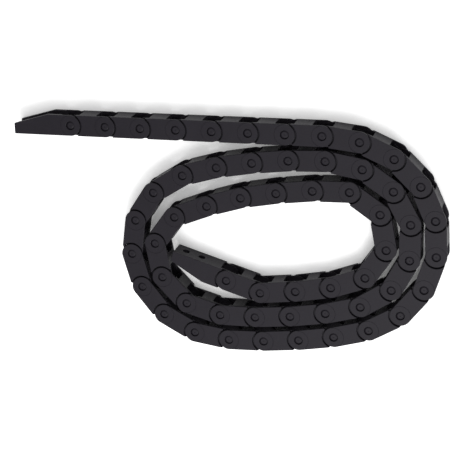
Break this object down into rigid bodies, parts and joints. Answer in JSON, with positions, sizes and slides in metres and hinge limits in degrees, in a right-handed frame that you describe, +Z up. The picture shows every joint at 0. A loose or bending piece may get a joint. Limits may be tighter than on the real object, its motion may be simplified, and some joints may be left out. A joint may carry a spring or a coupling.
{
  "type": "cable drag chain",
  "caption": "Cable drag chain of snap-together plastic links with an open channel and a screw bracket at each end, lying on its side in a flat oval coil.",
  "frame": {"origin": "middle of the bounding box, on the floor that the chain lies on", "axes": "+X along the straight run towards the coil, +Y towards the outside of the straight run, +Z up along the hinge axes"},
  "size_m": [0.2038, 0.1118, 0.0106],
  "materials": {
    "nylon": "matte moulded black"
  },
  "bodies": {
    "outer_end_bracket": {"outer_end_bracket": "nylon"},
    "link_01": {"link_01": "nylon"},
    "link_02": {"link_02": "nylon"},
    "link_03": {"link_03": "nylon"},
    "link_04": {"link_04": "nylon"},
    "link_05": {"link_05": "nylon"},
    "link_06": {"link_06": "nylon"},
    "link_07": {"link_07": "nylon"},
    "link_08": {"link_08": "nylon"},
    "link_09": {"link_09": "nylon"},
    "link_10": {"link_10": "nylon"},
    "link_11": {"link_11": "nylon"},
    "link_12": {"link_12": "nylon"},
    "link_13": {"link_13": "nylon"},
    "link_14": {"link_14": "nylon"},
    "link_15": {"link_15": "nylon"},
    "link_16": {"link_16": "nylon"},
    "link_17": {"link_17": "nylon"},
    "link_18": {"link_18": "nylon"},
    "link_19": {"link_19": "nylon"},
    "link_20": {"link_20": "nylon"},
    "link_21": {"link_21": "nylon"},
    "link_22": {"link_22": "nylon"},
    "link_23": {"link_23": "nylon"},
    "link_24": {"link_24": "nylon"},
    "link_25": {"link_25": "nylon"},
    "link_26": {"link_26": "nylon"},
    "link_27": {"link_27": "nylon"},
    "link_28": {"link_28": "nylon"},
    "link_29": {"link_29": "nylon"},
    "link_30": {"link_30": "nylon"},
    "link_31": {"link_31": "nylon"},
    "link_32": {"link_32": "nylon"},
    "link_33": {"link_33": "nylon"},
    "link_34": {"link_34": "nylon"},
    "link_35": {"link_35": "nylon"},
    "link_36": {"link_36": "nylon"},
    "link_37": {"link_37": "nylon"},
    "link_38": {"link_38": "nylon"},
    "link_39": {"link_39": "nylon"},
    "link_40": {"link_40": "nylon"},
    "link_41": {"link_41": "nylon"},
    "link_42": {"link_42": "nylon"},
    "link_43": {"link_43": "nylon"},
    "link_44": {"link_44": "nylon"},
    "link_45": {"link_45": "nylon"},
    "link_46": {"link_46": "nylon"},
    "link_47": {"link_47": "nylon"},
    "link_48": {"link_48": "nylon"},
    "link_49": {"link_49": "nylon"},
    "link_50": {"link_50": "nylon"},
    "link_51": {"link_51": "nylon"},
    "link_52": {"link_52": "nylon"},
    "link_53": {"link_53": "nylon"},
    "link_54": {"link_54": "nylon"},
    "link_55": {"link_55": "nylon"},
    "link_56": {"link_56": "nylon"},
    "inner_end_bracket": {"inner_end_bracket": "nylon"}
  },
  "joints": [
    {"name": "hinge_57", "type": "hinge", "parent": "inner_end_bracket", "child": "link_56", "pos_m": [-0.00096, -0.02095, 0.0053], "axis": [0, 0, 1], "range_deg": [0, 36]},
    {"name": "hinge_56", "type": "hinge", "parent": "link_56", "child": "link_55", "pos_m": [0.01527, -0.02601, 0.0053], "axis": [0, 0, 1], "range_deg": [-24, 32]},
    {"name": "hinge_55", "type": "hinge", "parent": "link_55", "child": "link_54", "pos_m": [0.03215, -0.02403, 0.0053], "axis": [0, 0, 1], "range_deg": [-3.94, 52.06]},
    {"name": "hinge_54", "type": "hinge", "parent": "link_54", "child": "link_53", "pos_m": [0.04886, -0.02089, 0.0053], "axis": [0, 0, 1], "range_deg": [-9.75, 46.25]},
    {"name": "hinge_53", "type": "hinge", "parent": "link_53", "child": "link_52", "pos_m": [0.0648, -0.01498, 0.0053], "axis": [0, 0, 1], "range_deg": [-35.38, 20.62]},
    {"name": "hinge_52", "type": "hinge", "parent": "link_52", "child": "link_51", "pos_m": [0.07437, -0.00092, 0.0053], "axis": [0, 0, 1], "range_deg": [-44.03, 11.96]},
    {"name": "hinge_51", "type": "hinge", "parent": "link_51", "child": "link_50", "pos_m": [0.07148, 0.01583, 0.0053], "axis": [0, 0, 1], "range_deg": [-45.15, 10.85]},
    {"name": "hinge_50", "type": "hinge", "parent": "link_50", "child": "link_49", "pos_m": [0.05756, 0.02559, 0.0053], "axis": [0, 0, 1], "range_deg": [-36.23, 19.77]},
    {"name": "hinge_49", "type": "hinge", "parent": "link_49", "child": "link_48", "pos_m": [0.04056, 0.02525, 0.0053], "axis": [0, 0, 1], "range_deg": [-5.72, 50.28]},
    {"name": "hinge_48", "type": "hinge", "parent": "link_48", "child": "link_47", "pos_m": [0.02369, 0.02321, 0.0053], "axis": [0, 0, 1], "range_deg": [-3.5, 52.5]},
    {"name": "hinge_47", "type": "hinge", "parent": "link_47", "child": "link_46", "pos_m": [0.00697, 0.02014, 0.0053], "axis": [0, 0, 1], "range_deg": [-6.46, 49.54]},
    {"name": "hinge_46", "type": "hinge", "parent": "link_46", "child": "link_45", "pos_m": [-0.0093, 0.01521, 0.0053], "axis": [0, 0, 1], "range_deg": [-4.41, 51.59]},
    {"name": "hinge_45", "type": "hinge", "parent": "link_45", "child": "link_44", "pos_m": [-0.02515, 0.00905, 0.0053], "axis": [0, 0, 1], "range_deg": [-32.4, 23.6]},
    {"name": "hinge_44", "type": "hinge", "parent": "link_44", "child": "link_43", "pos_m": [-0.03522, -0.00464, 0.0053], "axis": [0, 0, 1], "range_deg": [-46.25, 9.75]},
    {"name": "hinge_43", "type": "hinge", "parent": "link_43", "child": "link_42", "pos_m": [-0.0323, -0.02139, 0.0053], "axis": [0, 0, 1], "range_deg": [-33.03, 22.97]},
    {"name": "hinge_42", "type": "hinge", "parent": "link_42", "child": "link_41", "pos_m": [-0.02072, -0.03384, 0.0053], "axis": [0, 0, 1], "range_deg": [-30.84, 25.16]},
    {"name": "hinge_41", "type": "hinge", "parent": "link_41", "child": "link_40", "pos_m": [-0.0044, -0.03859, 0.0053], "axis": [0, 0, 1], "range_deg": [-16.74, 39.26]},
    {"name": "hinge_40", "type": "hinge", "parent": "link_40", "child": "link_39", "pos_m": [0.0126, -0.03844, 0.0053], "axis": [0, 0, 1], "range_deg": [-5.34, 50.66]},
    {"name": "hinge_39", "type": "hinge", "parent": "link_39", "child": "link_38", "pos_m": [0.02951, -0.0367, 0.0053], "axis": [0, 0, 1], "range_deg": [-3.64, 52.36]},
    {"name": "hinge_38", "type": "hinge", "parent": "link_38", "child": "link_37", "pos_m": [0.04628, -0.0339, 0.0053], "axis": [0, 0, 1], "range_deg": [-5.83, 50.17]},
    {"name": "hinge_37", "type": "hinge", "parent": "link_37", "child": "link_36", "pos_m": [0.06268, -0.02941, 0.0053], "axis": [0, 0, 1], "range_deg": [-17.99, 38.01]},
    {"name": "hinge_36", "type": "hinge", "parent": "link_36", "child": "link_35", "pos_m": [0.07689, -0.02008, 0.0053], "axis": [0, 0, 1], "range_deg": [-28.22, 27.78]},
    {"name": "hinge_35", "type": "hinge", "parent": "link_35", "child": "link_34", "pos_m": [0.08499, -0.00514, 0.0053], "axis": [0, 0, 1], "range_deg": [-27.71, 28.29]},
    {"name": "hinge_34", "type": "hinge", "parent": "link_34", "child": "link_33", "pos_m": [0.08522, 0.01186, 0.0053], "axis": [0, 0, 1], "range_deg": [-28.48, 27.52]},
    {"name": "hinge_33", "type": "hinge", "parent": "link_33", "child": "link_32", "pos_m": [0.07731, 0.02691, 0.0053], "axis": [0, 0, 1], "range_deg": [-27.97, 28.03]},
    {"name": "hinge_32", "type": "hinge", "parent": "link_32", "child": "link_31", "pos_m": [0.06327, 0.03649, 0.0053], "axis": [0, 0, 1], "range_deg": [-24.29, 31.71]},
    {"name": "hinge_31", "type": "hinge", "parent": "link_31", "child": "link_30", "pos_m": [0.04653, 0.03946, 0.0053], "axis": [0, 0, 1], "range_deg": [-11.9, 44.09]},
    {"name": "hinge_30", "type": "hinge", "parent": "link_30", "child": "link_29", "pos_m": [0.02954, 0.0389, 0.0053], "axis": [0, 0, 1], "range_deg": [-4.51, 51.49]},
    {"name": "hinge_29", "type": "hinge", "parent": "link_29", "child": "link_28", "pos_m": [0.01265, 0.03701, 0.0053], "axis": [0, 0, 1], "range_deg": [-3.56, 52.44]},
    {"name": "hinge_28", "type": "hinge", "parent": "link_28", "child": "link_27", "pos_m": [-0.0041, 0.03407, 0.0053], "axis": [0, 0, 1], "range_deg": [-5.92, 50.08]},
    {"name": "hinge_27", "type": "hinge", "parent": "link_27", "child": "link_26", "pos_m": [-0.02045, 0.02943, 0.0053], "axis": [0, 0, 1], "range_deg": [-16.02, 39.98]},
    {"name": "hinge_26", "type": "hinge", "parent": "link_26", "child": "link_25", "pos_m": [-0.03488, 0.02045, 0.0053], "axis": [0, 0, 1], "range_deg": [-24.32, 31.68]},
    {"name": "hinge_25", "type": "hinge", "parent": "link_25", "child": "link_24", "pos_m": [-0.04434, 0.00632, 0.0053], "axis": [0, 0, 1], "range_deg": [-25.18, 30.82]},
    {"name": "hinge_24", "type": "hinge", "parent": "link_24", "child": "link_23", "pos_m": [-0.04689, -0.01049, 0.0053], "axis": [0, 0, 1], "range_deg": [-23.4, 32.6]},
    {"name": "hinge_23", "type": "hinge", "parent": "link_23", "child": "link_22", "pos_m": [-0.04255, -0.02693, 0.0053], "axis": [0, 0, 1], "range_deg": [-23.06, 32.94]},
    {"name": "hinge_22", "type": "hinge", "parent": "link_22", "child": "link_21", "pos_m": [-0.03212, -0.04035, 0.0053], "axis": [0, 0, 1], "range_deg": [-23.37, 32.63]},
    {"name": "hinge_21", "type": "hinge", "parent": "link_21", "child": "link_20", "pos_m": [-0.01722, -0.04854, 0.0053], "axis": [0, 0, 1], "range_deg": [-20.5, 35.5]},
    {"name": "hinge_20", "type": "hinge", "parent": "link_20", "child": "link_19", "pos_m": [-0.0004, -0.05099, 0.0053], "axis": [0, 0, 1], "range_deg": [-10.41, 45.59]},
    {"name": "hinge_19", "type": "hinge", "parent": "link_19", "child": "link_18", "pos_m": [0.01659, -0.05037, 0.0053], "axis": [0, 0, 1], "range_deg": [-4.36, 51.65]},
    {"name": "hinge_18", "type": "hinge", "parent": "link_18", "child": "link_17", "pos_m": [0.03348, -0.04845, 0.0053], "axis": [0, 0, 1], "range_deg": [-3.53, 52.47]},
    {"name": "hinge_17", "type": "hinge", "parent": "link_17", "child": "link_16", "pos_m": [0.05022, -0.0455, 0.0053], "axis": [0, 0, 1], "range_deg": [-5.86, 50.14]},
    {"name": "hinge_16", "type": "hinge", "parent": "link_16", "child": "link_15", "pos_m": [0.06657, -0.04086, 0.0053], "axis": [0, 0, 1], "range_deg": [-14.63, 41.37]},
    {"name": "hinge_15", "type": "hinge", "parent": "link_15", "child": "link_14", "pos_m": [0.08122, -0.03223, 0.0053], "axis": [0, 0, 1], "range_deg": [-21.05, 34.95]},
    {"name": "hinge_14", "type": "hinge", "parent": "link_14", "child": "link_13", "pos_m": [0.0918, -0.01892, 0.0053], "axis": [0, 0, 1], "range_deg": [-20.71, 35.29]},
    {"name": "hinge_13", "type": "hinge", "parent": "link_13", "child": "link_12", "pos_m": [0.09698, -0.00273, 0.0053], "axis": [0, 0, 1], "range_deg": [-20.17, 35.83]},
    {"name": "hinge_12", "type": "hinge", "parent": "link_12", "child": "link_11", "pos_m": [0.09627, 0.01425, 0.0053], "axis": [0, 0, 1], "range_deg": [-21.25, 34.75]},
    {"name": "hinge_11", "type": "hinge", "parent": "link_11", "child": "link_10", "pos_m": [0.08944, 0.02982, 0.0053], "axis": [0, 0, 1], "range_deg": [-21.16, 34.84]},
    {"name": "hinge_10", "type": "hinge", "parent": "link_10", "child": "link_09", "pos_m": [0.07746, 0.04188, 0.0053], "axis": [0, 0, 1], "range_deg": [-20.66, 35.34]},
    {"name": "hinge_09", "type": "hinge", "parent": "link_09", "child": "link_08", "pos_m": [0.06199, 0.04894, 0.0053], "axis": [0, 0, 1], "range_deg": [-17.58, 38.42]},
    {"name": "hinge_08", "type": "hinge", "parent": "link_08", "child": "link_07", "pos_m": [0.04512, 0.05099, 0.0053], "axis": [0, 0, 1], "range_deg": [-6.93, 49.07]},
    {"name": "hinge_07", "type": "hinge", "parent": "link_07", "child": "link_06", "pos_m": [0.02812, 0.05099, 0.0053], "axis": [0, 0, 1], "range_deg": [-0.01, 55.99]},
    {"name": "hinge_06", "type": "hinge", "parent": "link_06", "child": "link_05", "pos_m": [0.01112, 0.05099, 0.0053], "axis": [0, 0, 1], "range_deg": [0, 56]},
    {"name": "hinge_05", "type": "hinge", "parent": "link_05", "child": "link_04", "pos_m": [-0.00588, 0.05099, 0.0053], "axis": [0, 0, 1], "range_deg": [0, 56]},
    {"name": "hinge_04", "type": "hinge", "parent": "link_04", "child": "link_03", "pos_m": [-0.02288, 0.05099, 0.0053], "axis": [0, 0, 1], "range_deg": [0, 56]},
    {"name": "hinge_03", "type": "hinge", "parent": "link_03", "child": "link_02", "pos_m": [-0.03988, 0.05099, 0.0053], "axis": [0, 0, 1], "range_deg": [0, 56]},
    {"name": "hinge_02", "type": "hinge", "parent": "link_02", "child": "link_01", "pos_m": [-0.05688, 0.05099, 0.0053], "axis": [0, 0, 1], "range_deg": [0, 56]},
    {"name": "hinge_01", "type": "hinge", "parent": "link_01", "child": "outer_end_bracket", "pos_m": [-0.07388, 0.05099, 0.0053], "axis": [0, 0, 1], "range_deg": [0, 56]}
  ],
  "couplings": [
    {"joint": "hinge_56", "follows": "hinge_57", "ratio": 0.37778},
    {"joint": "hinge_55", "follows": "hinge_57", "ratio": 0.96563},
    {"joint": "hinge_54", "follows": "hinge_57", "ratio": 0.34026},
    {"joint": "hinge_53", "follows": "hinge_57", "ratio": -0.65486},
    {"joint": "hinge_52", "follows": "hinge_57", "ratio": -0.90376},
    {"joint": "hinge_51", "follows": "hinge_57", "ratio": -0.87928},
    {"joint": "hinge_50", "follows": "hinge_57", "ratio": -0.18694},
    {"joint": "hinge_49", "follows": "hinge_57", "ratio": 0.7383},
    {"joint": "hinge_48", "follows": "hinge_57", "ratio": 0.77213},
    {"joint": "hinge_47", "follows": "hinge_57", "ratio": 0.65394},
    {"joint": "hinge_46", "follows": "hinge_57", "ratio": 0.39427},
    {"joint": "hinge_45", "follows": "hinge_57", "ratio": -0.55546},
    {"joint": "hinge_44", "follows": "hinge_57", "ratio": -0.94579},
    {"joint": "hinge_43", "follows": "hinge_57", "ratio": -0.63129},
    {"joint": "hinge_42", "follows": "hinge_57", "ratio": -0.34004},
    {"joint": "hinge_41", "follows": "hinge_57", "ratio": 0.30447},
    {"joint": "hinge_40", "follows": "hinge_57", "ratio": 0.59062},
    {"joint": "hinge_39", "follows": "hinge_57", "ratio": 0.58782},
    {"joint": "hinge_38", "follows": "hinge_57", "ratio": 0.53543},
    {"joint": "hinge_37", "follows": "hinge_57", "ratio": -0.060813},
    {"joint": "hinge_36", "follows": "hinge_57", "ratio": -0.43676},
    {"joint": "hinge_35", "follows": "hinge_57", "ratio": -0.51407},
    {"joint": "hinge_34", "follows": "hinge_57", "ratio": -0.49399},
    {"joint": "hinge_33", "follows": "hinge_57", "ratio": -0.36864},
    {"joint": "hinge_32", "follows": "hinge_57", "ratio": -0.032924},
    {"joint": "hinge_31", "follows": "hinge_57", "ratio": 0.29709},
    {"joint": "hinge_30", "follows": "hinge_57", "ratio": 0.43029},
    {"joint": "hinge_29", "follows": "hinge_57", "ratio": 0.46232},
    {"joint": "hinge_28", "follows": "hinge_57", "ratio": 0.39656},
    {"joint": "hinge_27", "follows": "hinge_57", "ratio": 0.2022},
    {"joint": "hinge_26", "follows": "hinge_57", "ratio": -0.2978},
    {"joint": "hinge_25", "follows": "hinge_57", "ratio": -0.45491},
    {"joint": "hinge_24", "follows": "hinge_57", "ratio": -0.41936},
    {"joint": "hinge_23", "follows": "hinge_57", "ratio": -0.38218},
    {"joint": "hinge_22", "follows": "hinge_57", "ratio": -0.20741},
    {"joint": "hinge_21", "follows": "hinge_57", "ratio": -0.063862},
    {"joint": "hinge_20", "follows": "hinge_57", "ratio": 0.29148},
    {"joint": "hinge_19", "follows": "hinge_57", "ratio": 0.39846},
    {"joint": "hinge_18", "follows": "hinge_57", "ratio": 0.38516},
    {"joint": "hinge_17", "follows": "hinge_57", "ratio": 0.34013},
    {"joint": "hinge_16", "follows": "hinge_57", "ratio": 0.20746},
    {"joint": "hinge_15", "follows": "hinge_57", "ratio": -0.13737},
    {"joint": "hinge_14", "follows": "hinge_57", "ratio": -0.32811},
    {"joint": "hinge_13", "follows": "hinge_57", "ratio": -0.37982},
    {"joint": "hinge_12", "follows": "hinge_57", "ratio": -0.39021},
    {"joint": "hinge_11", "follows": "hinge_57", "ratio": -0.28488},
    {"joint": "hinge_10", "follows": "hinge_57", "ratio": -0.10726},
    {"joint": "hinge_09", "follows": "hinge_57", "ratio": -0.063375},
    {"joint": "hinge_08", "follows": "hinge_57", "ratio": 0.27144},
    {"joint": "hinge_07", "follows": "hinge_57", "ratio": 0.29974},
    {"joint": "hinge_06", "follows": "hinge_57", "ratio": 0.13333},
    {"joint": "hinge_05", "follows": "hinge_57", "ratio": 0.13333},
    {"joint": "hinge_04", "follows": "hinge_57", "ratio": 0.13333},
    {"joint": "hinge_03", "follows": "hinge_57", "ratio": 0.13333}
  ]
}
